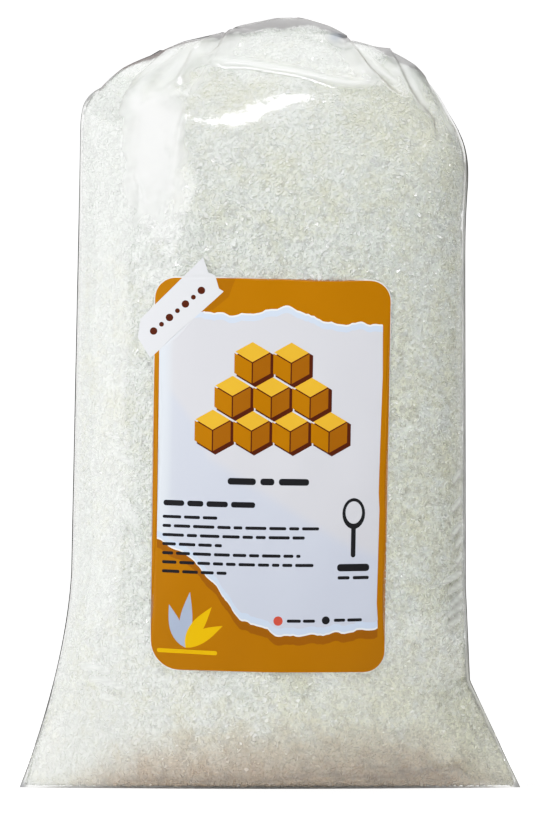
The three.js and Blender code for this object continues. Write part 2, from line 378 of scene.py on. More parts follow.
def crest(x):
    """Height of the top of the pulled dome at a place across it."""
    z = np.linspace(150.0, BAG_HEIGHT - 0.01, 900)
    left = np.interp(-x, left_edge(z)[::-1], z[::-1])
    right = np.interp(x, right_edge(z)[::-1], z[::-1])
    return np.where(x < NECK_OFFSET, left, right) + line_height(x, PULLS)


def line_distance(x, z, points):
    """Distance to a drawn line, which side of it a place is on, and how far along it is, from 0 to 1."""
    best = np.full(x.shape, np.inf)
    side = np.zeros(x.shape)
    along = np.zeros(x.shape)
    lengths = [math.dist(a, b) for a, b in zip(points, points[1:])]
    passed = 0.0
    for (ax, az), (bx, bz), length in zip(points, points[1:], lengths):
        ux, uz = (bx - ax) / length, (bz - az) / length
        t = np.clip((x - ax) * ux + (z - az) * uz, 0.0, length)
        dx, dz = x - (ax + t * ux), z - (az + t * uz)
        distance = np.hypot(dx, dz)
        nearer = distance < best
        best = np.where(nearer, distance, best)
        side = np.where(nearer, np.sign(ux * dz - uz * dx), side)
        along = np.where(nearer, (passed + t) / sum(lengths), along)
        passed += length
    return best, side, along


def soft_noise(x, z, size, seed):
    """Smooth noise from -1 to 1 whose swells are about as long as size: a few waves at odd angles."""
    rough = np.random.default_rng(seed)
    total = np.zeros(np.shape(x))
    for _ in range(9):
        turn, phase = rough.uniform(0, 2 * math.pi), rough.uniform(0, 2 * math.pi)
        stretch = rough.uniform(0.6, 1.6)
        along = x * math.cos(turn) + z * math.sin(turn)
        total = total + np.sin(along * 2 * math.pi * stretch / size + phase)
    return total / 4.0


class Relief:
    """Folds and wrinkles drawn on one face of the film, as lines in X and Z, with painted shade and
    highlights.
    """

    def __init__(self, x, z):
        self.x, self.z = x, z
        self.height, self.cover, self.veil, self.painted_highlight = (np.zeros(x.shape) for _ in range(4))

    def fold(self, points, step, reach, high_side, blur, cover, veil):
        """The film steps up across the line, and the step fades out away from it.

        Painted shade makes the film greyer along the line by cover, and the veil makes it whiter on the high
        side, for the doubled film and partly as painted light.
        """
        distance, side, along = line_distance(self.x, self.z, points)
        signed = distance * side * high_side
        edge = ease(signed, -blur, 0.0) * np.exp(-np.maximum(signed, 0.0) / reach)
        fade = ease(along, 1.0, 0.55)
        self.height += step * edge * fade
        self.cover += cover * np.exp(-(((signed + 0.35) / 0.55) ** 2)) * fade
        beside = np.exp(-np.maximum(signed, 0.0) / 2.0)
        self.veil += veil * ease(signed, -blur, 0.0) * beside * fade * ease(along, 0, 0.1)

    def ridge(self, points, height, width, cover=0.0, painted_highlight=0.0):
        # The ridge lifts the film along the line; cover lays painted shade on it, and the highlight lays
        # painted white on it.
        distance, _, along = line_distance(self.x, self.z, points)
        line = np.exp(-((distance / width) ** 2)) * ease(along, 0.0, 0.2) * ease(along, 1.0, 0.8)
        self.height += height * line
        self.cover += cover * line
        self.painted_highlight += painted_highlight * line

    def foot_wrinkles(self, places, cover):
        """Upright wrinkles at the foot, each given by its X at the top and at the bottom and its height;
        cover lays painted shade on them.
        """
        for x0, x1, top in places:
            self.ridge([(x1, 0.5), ((x0 + x1) / 2, top / 2), (x0, top)], 0.5, 1.0, cover=cover)


def front_relief(x, z):
    made = Relief(x, z)
    # The folds that run down from the neck, with painted shade along them and whiter film on their high
    # sides.
    for points, *look in (
        (((-11, 227), (-12.9, 224.6), (-15.4, 220.3), (-17.8, 218.2), (-22.5, 217)),
         1.1, 10, 1, 0.5, 0.5, 0.16),
        (((-15, 225.6), (-21, 222), (-26, 219.9), (-31, 216.1), (-36, 212.7), (-46, 203)),
         1.1, 5, 1, 0.6, 0.4, 0.16),
        (((-22.6, 219.5), (-25.1, 214.8), (-27.6, 211), (-32.7, 206.8)), 0.9, 4, 1, 0.6, 0.35, 0.14),
        (((-31, 221), (-37, 215), (-43, 207), (-46, 196)), 0.7, 5, 1, 0.6, 0.25, 0.12),
        (((-19, 214), (-24, 206), (-27, 196), (-29, 180)), 0.5, 7, 1, 0.8, 0.12, 0.08),
        (((22.2, 226), (24.8, 221), (29.6, 213.9), (36.2, 207.3), (42, 204.3)), 1.4, 7, -1, 0.45, 1.0, 0.2),
        (((36, 219), (41, 208.4), (44.3, 203.4), (48.4, 199.2), (50, 190)), 1.1, 4, -1, 0.5, 0.6, 0.12),
        (((45.6, 213.8), (49.3, 205), (55, 195.9), (57, 184)), 0.8, 4, -1, 0.5, 0.4, 0.1),
    ):
        made.fold(points, *look)
    # Pulls in the film between and beside the folds: their height and width, and how strong their painted
    # highlight is.
    for points, height, width, painted_highlight in (
        (((-20, 216.2), (-7, 215.8), (9.3, 212.9), (18, 210.4), (24, 209), (33.3, 208.8)), 0.45, 1.1, 0.6),
        (((24.5, 224), (27, 219.5), (31.5, 214.6), (38.5, 208.5)), 0.35, 0.9, 0.4),
        (((-19, 222), (-28, 213.5), (-36, 204)), 0.25, 2.2, 0.4),
        (((-27, 221), (-36, 212.5), (-43, 202)), 0.25, 1.8, 0.3),
        (((38.5, 217), (43, 208.5), (47, 201)), 0.25, 1.5, 0.5),
        (((47.5, 212), (51.5, 203), (55, 194)), 0.25, 1.1, 0.35),
    ):
        made.ridge(points, height, width, painted_highlight=painted_highlight)
    # The front of the dome leans more to its left than to its right.
    lean = np.exp(-((x / 30.0) ** 2) - ((z - 202.0) / 13.0) ** 2)
    made.height += 0.0065 * (x + 2.0) * (z - 202.0) * lean
    # The film wrinkles where it turns under at the foot, most of all towards the right ear, with painted
    # shade on the wrinkles.
    made.foot_wrinkles(((-46, -50, 9), (-30, -34, 7), (-12, -13, 6), (9, 10, 9), (18, 21, 8), (27, 32, 10),
                        (36, 43, 11), (45, 54, 10), (53, 63, 8)), 0.16)
    for points in (((-46, 2.4), (-30, 3.2), (-12, 2.0)), ((-20, 3.8), (0, 2.6), (15, 4.2)),
                   ((8, 5.4), (29, 3.2), (49, 4.6)), ((26, 7.2), (43, 5.2), (61, 6.2))):
        made.ridge(points, 0.4, 0.6, cover=0.3)
    # Slanting ripples beside the crease on the right, each with a painted highlight above and painted shade
    # below.
    for x0, z0, x1, z1 in (
        (57.4, 79.2, 53.7, 74.7), (58.1, 75.3, 54.9, 71.8), (58, 70.3, 54.9, 66.4), (58.1, 64.9, 50.7, 60.5),
        (58.4, 61.9, 52.2, 57.6), (58.4, 58.4, 53.1, 53.9), (58.1, 54.8, 51.9, 50.7), (57, 51.4, 52.5, 47.9),
        (57.6, 87, 53.5, 82), (57.4, 95, 54, 90.5),
    ):
        made.ridge([(x0, z0), (x1, z1)], 0.35, 0.8, painted_highlight=0.5)
        made.ridge([(x0 + 0.6, z0 - 1.5), (x1 + 0.3, z1 - 1.5)], -0.2, 0.75, cover=0.26)
    # Three ripples low down on the left, and short ones beside the label higher up, all with painted
    # highlights.
    for points in (((-57.5, 36.6), (-52, 36), (-46.5, 34)), ((-55, 33.2), (-48, 31.6), (-41, 28.6)),
                   ((-50.5, 28), (-44, 25.2))):
        made.ridge(points, 0.4, 0.75, painted_highlight=0.55)
    for x0, z0, x1, z1, painted_highlight in ((-47.2, 99.8, -39.4, 95.6, 0.6), (-44.5, 85.5, -38.4, 77, 0.6),
                                  (-45, 93.5, -38.8, 90.8, 0.3), (-42, 73.5, -37.5, 66.5, 0.3),
                                  (-49, 106, -44, 103, 0.25)):
        made.ridge([(x0, z0), (x1, z1)], 0.3, 0.85, painted_highlight=painted_highlight)
    made.height += 0.2 * soft_noise(x, z, 26.0, 3) * ease(z, 8.0, 30.0) * (1.0 - 0.9 * lean)
    return made


def back_relief(x, z):
    made = Relief(x, z)
    # Folds that fan out from the neck, wrinkles at the foot, and shallow swells over the middle, with
    # painted shade along the folds and wrinkles and whiter film on the folds' high sides.
    for x0, x1, x2, z1, z2, side in (
        (-14, -24, -40, 214, 196, 1), (-9, -15, -24, 210, 184, 1), (10, 16, 25, 211, 188, -1),
        (16, 27, 43, 215, 198, -1), (3, 5, 6, 176, 150, 1), (-30, -41, -51, 208, 190, 1),
    ):
        made.fold([(x0, 226), (x1, z1), (x2, z2)], 1.0, 7, -side, 0.6, 0.35, 0.3)
    made.foot_wrinkles(((-52, -60, 9), (-38, -43, 8), (-22, -24, 8), (-5, -5, 7), (13, 14, 8), (30, 34, 9),
                        (46, 53, 9)), 0.1)
    for points in (
        ((-55, 60), (-47, 50)), ((-56, 92), (-49, 84)), ((56, 118), (50, 109)), ((55, 70), (48, 61)),
        ((-20, 128), (4, 133), (24, 131)), ((-28, 62), (-6, 57), (14, 60)),
    ):
        made.ridge(points, 0.3, 1.1)
    made.height += 0.25 * soft_noise(x, z, 26.0, 8) * ease(z, 8.0, 30.0)
    return made


def bake_map(mesh, corners):
    """Give a mesh the flat map that its finish is baked through."""
    layer = mesh.uv_layers.new(name="OFBake")
    flat = np.concatenate([np.array(face, np.float32).ravel() for face in corners])
    layer.data.foreach_set("uv", flat)


def mapped_mesh(name, points, faces, corners):
    """A mesh with its map, from points in millimetres."""
    mesh = bpy.data.meshes.new(name)
    mesh.from_pydata((points * MM).tolist(), [], faces)
    bake_map(mesh, corners)
    return mesh


def grid(rows, columns, count, low, tall, first=0, turned=False):
    """The faces of rows of points, and their squares in a part of the map from low, as tall as given.

    A row has count points: one more than it has columns, or as many where it closes to a ring.
    """
    faces, corners = [], []
    for row in range(rows):
        start = first + row * count
        bottom, top = low + tall * row / rows, low + tall * (row + 1) / rows
        for i in range(columns):
            a, b = start + i, start + (i + 1) % count
            left, right = i / columns, (i + 1) / columns
            face = (a, b, b + count, a + count)
            square = ((left, bottom), (right, bottom), (right, top), (left, top))
            faces.append(face[:1] + face[:0:-1] if turned else face)
            corners.append(square[:1] + square[:0:-1] if turned else square)
    return faces, corners


FOOT_STEPS = 24  # strips across the foot, from its front edge to its back edge
FOOT_MAP, RINGS_MAP = 0.13, (0.15, 0.8)  # the parts of the map that the foot and the rings take up


def skin_mesh(name, rings, peak, lift=None):
    """One closed mesh from rings: a flat foot under the first ring and a point over the last."""
    count = rings.shape[1]
    half = count // 2
    points = [rings.reshape(-1, 3)]
    faces, corners = grid(len(rings) - 1, count, count, *RINGS_MAP)
    # The foot: strips across from the front edge to the back edge, one for each step round the ring.
    made = len(rings) * count
    front = rings[0][1:half]
    back = rings[0][count - 1 : half : -1]
    strips = [np.arange(1, half)]
    for step in range(1, FOOT_STEPS):
        share = step / FOOT_STEPS
        strip = front * (1 - share) + back * share
        if lift is not None:
            strip[:, 2] += lift(strip[:, 0], strip[:, 1], np.abs(front[:, 1]))
        points.append(strip)
        strips.append(made + np.arange(half - 1))
        made += half - 1
    strips.append(np.arange(count - 1, half, -1))
    for step, (near, far) in enumerate(zip(strips, strips[1:])):
        low, high = FOOT_MAP * step / FOOT_STEPS, FOOT_MAP * (step + 1) / FOOT_STEPS
        faces.append((0, int(far[0]), int(near[0])))
        corners.append(((0.0, low), (1 / half, high), (1 / half, low)))
        for i in range(half - 2):
            faces.append((int(near[i]), int(far[i]), int(far[i + 1]), int(near[i + 1])))
            a, b = (i + 1) / half, (i + 2) / half
            corners.append(((a, low), (a, high), (b, high), (b, low)))
        faces.append((int(near[-1]), int(far[-1]), half))
        corners.append((((half - 1) / half, low), ((half - 1) / half, high), (1.0, low)))
    last = (len(rings) - 1) * count
    points.append(np.array([peak]))
    for i in range(count):
        faces.append((last + i, last + (i + 1) % count, made))
        corners.append(((i / count, 0.955), ((i + 1) / count, 0.955), ((i + 0.5) / count, 0.995)))
    mesh = mapped_mesh(name, np.concatenate(points), faces, corners)
    mesh.shade_smooth()
    return mesh


# How far below the film the sugar ends along the top of the dome: across, and down.
FREE_FILM = (
    (-60, 0.4), (-50, 0.8), (-44, 1.0), (-36, 1.9), (-30, 1.5), (-21, 1.1), (-12, 1.3), (-7.5, 3.0),
    (0, 3.2), (4.5, 4.4), (9.3, 2.8), (15, 1.7), (24, 1.1), (31, 1.1), (34.5, 2.3), (38, 3.3), (43, 2.6),
    (46.5, 0.9), (60, 0.4),
)


def sugar_line(x):
    return crest(x) - line_height(x, FREE_FILM)


WELD_HEIGHT = 0.3


def weld_lift(x, y, reach):
    """The foot of the film stands a little off the ground on both sides of its weld."""
    return WELD_HEIGHT * ease(np.abs(y), 1.0, 2.0) * ease(reach - np.abs(y), 0.0, 2.5)


FILM_ROWS, FILM_COLUMNS = 268, 344
film_rings = np.stack([bag_ring(z, FILM_COLUMNS // 2) for z in ring_heights(FILM_ROWS, 0.9)])
film_out = ring_normals(film_rings)
film_x, film_z = film_rings[..., 0].copy(), film_rings[..., 2].copy()
front_folds, back_folds = front_relief(film_x, film_z), back_relief(film_x, film_z)
facing_front = ease(-film_out[..., 1], 0.05, 0.35)
facing_back = ease(film_out[..., 1], 0.05, 0.35)
film_rings += film_out * (front_folds.height * facing_front + back_folds.height * facing_back)[..., None]
film_rings = pulled(film_rings)
film_rings[..., 2] = np.maximum(film_rings[..., 2], 0.0)
film_rings[0, :, 2] = 0.0
film = placed("film", skin_mesh("film", film_rings, (NECK_OFFSET, 0.0, BAG_HEIGHT), weld_lift))


class HazeAndPaintedLight:
    """What is laid over the clear film, haze and painted light, as one colour and how much of the film it
    covers.
    """

    def __init__(self, shape, tint, amount):
        self.colour = np.ones((*shape, 3)) * tint
        self.cover = np.full(shape, amount)

    def lay(self, tint, amount):
        amount = np.clip(amount, 0.0, 1.0)
        both = amount + self.cover * (1.0 - amount)
        share = (amount / np.maximum(both, 1e-6))[..., None]
        self.colour = self.colour * (1.0 - share) + np.array(tint) * share
        self.cover = both


# Where the film stands clear of the sugar, or is folded, painted shade makes it grey, and where it lies in
# loose layers it is a thin white veil. Painted highlights and a painted reflection of the window lie over it
# too.
MILKY_HAZE_AND_LIGHT = (0.86, 0.88, 0.86)
SEAM_SHADE = (0.05, 0.048, 0.05)
haze_and_painted_light = HazeAndPaintedLight(film_x.shape, MILKY_HAZE_AND_LIGHT, 0.08)
on_left, leftward, rightward = film_x < 0, ease(film_x, 10.0, -10.0), ease(film_x, -10.0, 10.0)
across, deep, up = np.moveaxis(film_rings, 2, 0)
ragged = 0.45 * soft_noise(across, deep, 5.0, 5) + 0.25 * soft_noise(across, deep, 2.1, 6)
clear_of_sugar = ease(up - sugar_line(across) + ragged, -0.2, 0.5) * ease(up, 181.0, 188.0)
from_side = np.minimum(film_x + left_edge(film_z), right_edge(film_z) - film_x)
from_tip = np.hypot(EAR_REACH - np.abs(film_x), film_z)
wander = soft_noise(film_x, film_z, 11.0, 31) + 0.5 * soft_noise(film_x, film_z, 4.0, 32)
# A milky veil over the top of the dome, for the loose film, and over the left side, where it is painted
# light from the window.
haze_and_painted_light.lay(MILKY_HAZE_AND_LIGHT, 0.1 * np.maximum(ease(film_z, 165.0, 190.0), ease(film_x, -34.0, -52.0)))
warmer = ease(soft_noise(film_x, film_z, 30.0, 33), 0.1, 0.9)[..., None]
veil_tint = np.array((0.85, 0.9, 0.83)) * (1.0 - warmer) + np.array((0.86, 0.85, 0.7)) * warmer
haze_and_painted_light.lay(veil_tint, 0.11 * ease(film_z + 5.0 * wander, 203.0, 216.0))
# Painted shade in a strip beside the right shoulder.
beside_shoulder = ease(from_side, 2.2, 0.7) * ease(film_x, 20.0, 34.0) * ease(film_z, 168.0, 188.0)
haze_and_painted_light.lay((0.4, 0.375, 0.32), 0.35 * beside_shoulder)
# A painted reflection: the tall window's highlight is painted white on the left part of the dome.
window_highlight = ease(film_x + 0.6 * wander, -45.5, -39.0) * ease(film_x - 2.2 * wander, -22.5, -31.0)
window_highlight *= ease(film_z + 3.0 * wander, 158.0, 186.0) * ease(film_z + 2.0 * wander, 209.0, 203.0) * facing_front
haze_and_painted_light.lay((0.95, 0.96, 0.95), 0.55 * window_highlight)
# The folds with their painted shade and highlights, and painted shade where the film is empty above the
# sugar, with a warm brown painted shade towards the left.
haze_and_painted_light.lay((0.8, 0.82, 0.79), front_folds.veil * facing_front + back_folds.veil * facing_back)
haze_and_painted_light.lay((0.91, 0.95, 0.92), front_folds.painted_highlight * facing_front + back_folds.painted_highlight * facing_back)
haze_and_painted_light.lay((0.24, 0.22, 0.2), front_folds.cover * facing_front + back_folds.cover * facing_back)
haze_and_painted_light.lay((0.12, 0.11, 0.115), 0.7 * clear_of_sugar)
haze_and_painted_light.lay((0.16, 0.09, 0.075), 0.3 * ease(film_x, -20.0, -34.0) * clear_of_sugar)
# Painted shade along the creases down the sides and beside the sugar low on the right, darker on the right,
# away from the window, and a painted dark line along the narrow seam where the front meets the back, heavier
# on the left.
crease_reach = np.where(on_left, 0.5, 1.3) + 0.05 * soft_noise(film_z, film_z, 40.0, 12)
crease = np.where(on_left, *side_creases(film_z))
beside_sugar = ease(from_side - crease - 0.85, 0.2, -0.2)
haze_and_painted_light.lay((0.62, 0.62, 0.57), 0.8 * beside_sugar * ease(film_z, 46.0, 34.0) * rightward)
near_crease = ease(film_z, 210.0, 190.0) * ease(film_z, 22.0, 45.0) * ease(np.abs(deep), 4.0, 2.5)
creased = ease(from_side - crease_reach, 0.3, -0.5) * near_crease
haze_and_painted_light.lay((0.4, 0.38, 0.36), 0.3 * creased * leftward)
haze_and_painted_light.lay((0.26, 0.27, 0.245), 0.3 * creased * rightward)
flat_crease = ease(from_side - crease, 0.3, -0.1) * rightward * near_crease
uneven = 0.27 + 0.12 * soft_noise(film_x * 6.0, film_z, 9.0, 41)
haze_and_painted_light.lay((0.33, 0.335, 0.32), uneven * flat_crease)
seam = ease(np.abs(deep), 1.7, 0.7)
seam_depth = 0.72 + 0.25 * soft_noise(film_z, 0.0, 9.0, 43)
haze_and_painted_light.lay(SEAM_SHADE, seam_depth * ease(from_side, 0.42, 0.18) * seam)
haze_and_painted_light.lay(SEAM_SHADE, 0.6 * ease(from_side, 0.5, 0.3) * leftward * seam)
# Painted shade in a small dark hollow in the neck, then the ears: a loose veil, and painted grey shade over
# their empty tips.
hollow = np.exp(-(((film_x - 19.3) / 1.7) ** 2) - ((up - 224.8) / 1.5) ** 2)
haze_and_painted_light.lay((0.2, 0.235, 0.3), 0.75 * facing_front * hollow)
ear = ease(np.abs(film_x), 58.0, 66.0) * ease(film_z + 2.0 * wander, 32.0, 20.0)
haze_and_painted_light.lay((0.82, 0.81, 0.78), np.where(on_left, 0.05, 0.14) * ear)
haze_and_painted_light.lay((0.25, 0.25, 0.265), 0.7 * ease(from_tip, 3.0, 0.9))


def clear_film(name, haze_amount):
    made = Finish(name)
    place = made.place()[0]
    ripple = made.noise(place, 260.0)
    swell = made.noise(place, 60.0)
    bump = made.node("Bump", Strength=0.3, Distance=0.0006, Height=ripple * 0.35 + swell)
    mirror = made.node("BsdfGlossy", Color=(1, 1, 1, 1), Roughness=0.1, Normal=bump)
    clear = made.node("BsdfTransparent", Color=(0.99, 0.99, 0.985, 1))
    grazing = made.node("LayerWeight", Blend=0.5, Normal=bump, output=1)
    mirrored = 0.08 + grazing**5.0 * 0.9  # the film mirrors more where it is seen at a slant
    sheet = made.node("MixShader", {}, mirrored, clear, mirror)
    # The stored colour holds the film's haze together with its painted shade and painted highlights.
    haze_with_painted_light = made.node("BsdfPrincipled", Base_Color=made.stored("haze_and_painted_light"), Roughness=0.3, Normal=bump)
    amount = (made.stored("haze_and_painted_light", 3) + haze_amount).clamped()
    return made.close(made.node("MixShader", {}, amount, sheet, haze_with_painted_light))


def paint_haze_and_light(mesh, colour, amount):
    """Store the colour and the amount of the haze and painted light on every point of a mesh."""
    haze_and_painted_light = mesh.attributes.new("haze_and_painted_light", "FLOAT_COLOR", "POINT")
    values = np.zeros((len(mesh.vertices), 4), np.float32)
    values[:, :3] = (0.6, 0.6, 0.57)
    values[: amount.size, :3] = colour.reshape(-1, 3)
    values[: amount.size, 3] = np.minimum(amount, 0.92).ravel()
    haze_and_painted_light.data.foreach_set("color", values.ravel())


film.data.materials.append(clear_film("clear_film", 0.0))
paint_haze_and_light(film.data, haze_and_painted_light.colour, haze_and_painted_light.cover)
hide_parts("sugar_bag")
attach(film, "root")


# -----------------------------------------------------------------------------
# The sugar in the bag. The mass of it is one body just inside the film, with a rough surface. It stops short
# of the tips of the ears, of the side creases and of the gathered neck, where its top is a ragged line.

SUGAR_ROWS, SUGAR_COLUMNS = 250, 350
SUGAR_INSET = 0.78
SUGAR_FOOT, HEADROOM = 1.15, 0.5
SUGAR_ROUGHNESS = 0.15
SIDE_GAP, SHOULDER_GAP = 0.58, 0.4  # the crystals beside the crease fit into these
EMPTY_TIP = 0.8  # more room in the tips of the ears
rng = np.random.default_rng(7)


def short_of_crease(z):
    """How far from the crease the sugar ends at a height."""
    loose = 0.35 * max(0.0, float(soft_noise(z, 0.0, 22.0, 51)))
    return SIDE_GAP + loose + SHOULDER_GAP * float(ease(z, 150.0, 172.0)) + EMPTY_TIP * float(ramp(z, 9.0))


heights = ring_heights(SUGAR_ROWS, 0.4)
sugar_rings = np.stack([bag_ring(z, SUGAR_COLUMNS // 2, short_of_crease(z)) for z in heights])
sugar_out = ring_normals(sugar_rings)
dents = np.minimum(0.0, front_relief(sugar_rings[..., 0], sugar_rings[..., 2]).height)
inset = np.minimum(SUGAR_INSET, 0.55 * np.abs(sugar_rings[..., 1]))
inset = inset - dents * ease(-sugar_out[..., 1], 0.05, 0.35)
inset = inset + rng.uniform(-SUGAR_ROUGHNESS, SUGAR_ROUGHNESS, inset.shape)
sugar_rings -= sugar_out * inset[..., None]
sugar_rings = pulled(sugar_rings)
x, y = sugar_rings[..., 0], sugar_rings[..., 1]
brim = sugar_line(x) - HEADROOM + 0.5 * soft_noise(x, y, 6.0, 14) + 0.3 * soft_noise(x, y, 2.3, 15)
sugar_rings[..., 2] = np.clip(sugar_rings[..., 2], SUGAR_FOOT, brim)
sugar_peak = (NECK_OFFSET, 0.0, float(np.max(sugar_rings[-1, :, 2])))
sugar = placed("sugar", skin_mesh("sugar", sugar_rings, sugar_peak))


def sugar_colour(made, lift=0.0):
    """White sugar with straw-coloured patches, as the mix of crystals varies through the bag.

    The patches are stronger lower down and to the right, where they are painted shade on the side away from
    the window.
    Towards the foot the colour is warmer and darker: painted shade with a painted warm reflection.
    """
    place, x, z = made.place()
    patch = made.noise(place, 170.0, 3.0)
    broad = made.noise(place, 28.0)
    over, above = (x + 0.009) * 75.0, (z - 0.204) * 110.0
    dome = (1.0 - over * over - above * above).clamped()  # a straw-coloured drift near the top
    # The share of straw grows to the right as painted shade away from the window.
    straw = (patch * 2.2 + broad * 2.1 - 1.62 + x * 6.5 - z * 2.4 + dome * 0.7 + lift).clamped()
    # Painted shade, warm and darker, towards the foot.
    painted_foot_shade = (1.0 - z * 24.0).clamped() * 0.2
    beside = made.node("Math", {"operation": "ABSOLUTE"}, x - 0.005)
    # Deeper painted shade with a painted warm reflection at the heel, towards the middle.
    heel = (3.3 - z * 60.0 - beside * 45.0 + patch * 0.8 - 0.4).clamped()
    heel = heel * (1.24 - z * 58.0 + patch * 0.8 - 0.4).clamped()
    colour = made.blend(straw, (0.9, 0.955, 0.9, 1), (0.86, 0.875, 0.7, 1))
    return made.blend(heel, made.blend(painted_foot_shade, colour, (0.72, 0.64, 0.5, 1)), (0.54, 0.41, 0.29, 1))


def crystal_sugar():
    made = Finish("crystal_sugar")
    return made.close(made.node("BsdfPrincipled", Base_Color=sugar_colour(made), Roughness=0.5))


sugar.data.materials.append(crystal_sugar())
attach(sugar, "root")


# -----------------------------------------------------------------------------
# The crystals that lie against the film: cane sugar, about a millimetre long, blocky, with some long, flat
# and broken ones. Each kind is one piece, scattered over the mass of sugar and half sunk into it.

CRYSTAL_KINDS = {
    # shape, length, width and thickness of a crystal in millimetres, and how far its ends slant
    "crystals_blocky": ("block", (0.92, 0.82, 0.74), 0.2),
    "crystals_long": ("block", (1.15, 0.7, 0.64), 0.35),
    "crystals_flat": ("block", (1.0, 0.92, 0.5), -0.25),
    "crystals_wedge": ("wedge", (1.05, 0.85, 0.95), 0.1),
    "crystals_small": ("block", (0.7, 0.62, 0.56), 0.15),
}
CRYSTAL_SPACING = 0.77
CRYSTAL_LIFT = -0.06
CRYSTAL_TILT = 0.55  # radians, the most that a crystal leans out of the film's plane


def crystal_tree(number, shape, size, slant, finish):
    """Points over a surface, every fifth of which gets a crystal of one kind, turned and sized at random."""
    group = bpy.data.node_groups.new("crystals", "GeometryNodeTree")
    for way in ("INPUT", "OUTPUT"):
        group.interface.new_socket("Geometry", in_out=way, socket_type="NodeSocketGeometry")
    made = Nodes(group)
    spread = made.node(
        "GeometryNodeDistributePointsOnFaces",
        {"distribute_method": "POISSON"},
        made.node("NodeGroupInput"),
        Distance_Min=CRYSTAL_SPACING * MM,
        Density_Max=4.0e6,
        Seed=3,
    )
    index = made.node("GeometryNodeInputIndex")
    turn = made.node("FunctionNodeIntegerMath", {"operation": "MODULO"}, index, len(CRYSTAL_KINDS))
    other = made.node("FunctionNodeCompare", {"data_type": "INT", "operation": "NOT_EQUAL"}, turn, number)
    points = made.node("GeometryNodeDeleteGeometry", {"domain": "POINT"}, spread, other)
    out = made.node("VectorMath", {"operation": "SCALE"}, spread.other("Normal"), Scale=CRYSTAL_LIFT * MM)
    points = made.node("GeometryNodeSetPosition", Geometry=points, Offset=out)
    if shape == "block":
        body = made.node("GeometryNodeMeshCube", Size=[x * MM for x in size])
    else:
        body = made.node("GeometryNodeMeshCylinder", Vertices=3, Radius=size[0] / 2 * MM, Depth=size[1] * MM)
    # The ends of a crystal slant: each corner moves along the length by a share of its height.
    height = made.node("SeparateXYZ", {}, made.node("GeometryNodeInputPosition"), output=2)
    shift = made.node("CombineXYZ", {}, height * slant)
    body = made.node("GeometryNodeSetPosition", Geometry=body, Offset=shift)
    most = (CRYSTAL_TILT, CRYSTAL_TILT, math.pi)
    least = tuple(-x for x in most)
    chance = "FunctionNodeRandomValue"
    leaning = made.node(chance, {"data_type": "FLOAT_VECTOR"}, Min=least, Max=most, Seed=11)
    crystals = made.node(
        "GeometryNodeInstanceOnPoints",
        Points=points,
        Instance=body,
        Rotation=made.node(
            "FunctionNodeRotateRotation",
            {"rotation_space": "LOCAL"},
            Rotation=spread.other("Rotation"),
            Rotate_By=leaning,
        ),
        Scale=made.node(chance, {"data_type": "FLOAT"}, Min=0.8, Max=1.32, Seed=12),
    )
    crystals = made.node(
        "GeometryNodeStoreNamedAttribute",
        {"data_type": "FLOAT", "domain": "INSTANCE"},
        Geometry=crystals,
        Name="tone",
        Value=made.node(chance, {"data_type": "FLOAT"}, Seed=13),
    )
    crystals = made.node("GeometryNodeRealizeInstances", Geometry=crystals)
    crystals = made.node("GeometryNodeSetMaterial", Geometry=crystals, Material=finish)
    made.node("NodeGroupOutput", {}, crystals)
    return group


def single_crystals():
    made = Finish("sugar_crystals")
    tone = made.stored("tone", 2)
    _, x, z = made.place()
    loose = (z * 12.0 - 1.3).clamped()  # near the top the film is loose, and the crystals look paler
    # Some crystals are dark at random, and more of them to the right as painted shade away from the window.
    dull_and_painted_shade = (tone**2.0 * (0.25 + x * 5.0) * (1.0 - loose * 0.92)).clamped()
    body = sugar_colour(made, tone * 0.7 - 0.35)
    colour = made.blend(dull_and_painted_shade, body, (0.3, 0.29, 0.25, 1))
    glow = {"Subsurface_Weight": 0.85, "Subsurface_Radius": (1.0, 1.0, 0.95), "Subsurface_Scale": 0.0015}
    gloss = {"Roughness": 0.11, "Specular_IOR_Level": 0.85}
    return made.close(made.node("BsdfPrincipled", Base_Color=colour, **gloss, **glow))


def crystal_map(mesh, faces_each):
    """Give every crystal a square of the map of its own, and every face of it a part of that square."""
    count = len(mesh.polygons) // faces_each
    across = math.ceil(math.sqrt(count))
    cell, inner = 1.0 / across, 1.0 / 3.0
    margin, used = 0.04, 0.92
    step = 0.85 * inner * cell
    corners = []
    for face in mesh.polygons:
        crystal, part = divmod(face.index, faces_each)
        left = (crystal % across + margin + used * inner * (part % 3)) * cell
        low = (crystal // across + margin + used * inner * (part // 3)) * cell
        square = ((left, low), (left + step, low), (left + step, low + step), (left, low + step))
        corners.append(square[: face.loop_total])
    bake_map(mesh, corners)


sugar_base = sugar.data.copy()
crystal_finish = single_crystals()
for number, (name, (shape, size, slant)) in enumerate(CRYSTAL_KINDS.items()):
    scattered = placed("scattered_" + name, sugar_base)
    modifier = scattered.modifiers.new("crystals", "NODES")
    modifier.node_group = crystal_tree(number, shape, size, slant, crystal_finish)
    ready = scattered.evaluated_get(bpy.context.evaluated_depsgraph_get())
    crystals = placed(name, bpy.data.meshes.new_from_object(ready))
    bpy.data.objects.remove(scattered)
    for layer in list(crystals.data.uv_layers):
        crystals.data.uv_layers.remove(layer)
    crystal_map(crystals.data, 6 if shape == "block" else 5)  # a block has six faces, a wedge five
    crystals.data.shade_flat()
    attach(crystals, "root")
bpy.data.meshes.remove(sugar_base)


# -----------------------------------------------------------------------------
# The mouth of the bag: the empty end of the tube, gathered at the neck, folded down behind and pressed on
# the back. It is several layers of film with long pleats, and ends in a straight cut.

FLAP_TOP, FLAP_BOTTOM = 227.0, 181.0
FLAP_HALF_TOP, FLAP_HALF_BOTTOM = 17.0, 20.0
FLAP_MIDDLE = 5.5
FLAP_ROWS, FLAP_COLUMNS = 64, 120
FLAP_LIFT, FLAP_THICKNESS = 0.9, 0.25
FLAP_MAP = 0.48  # how much of the map each side takes up


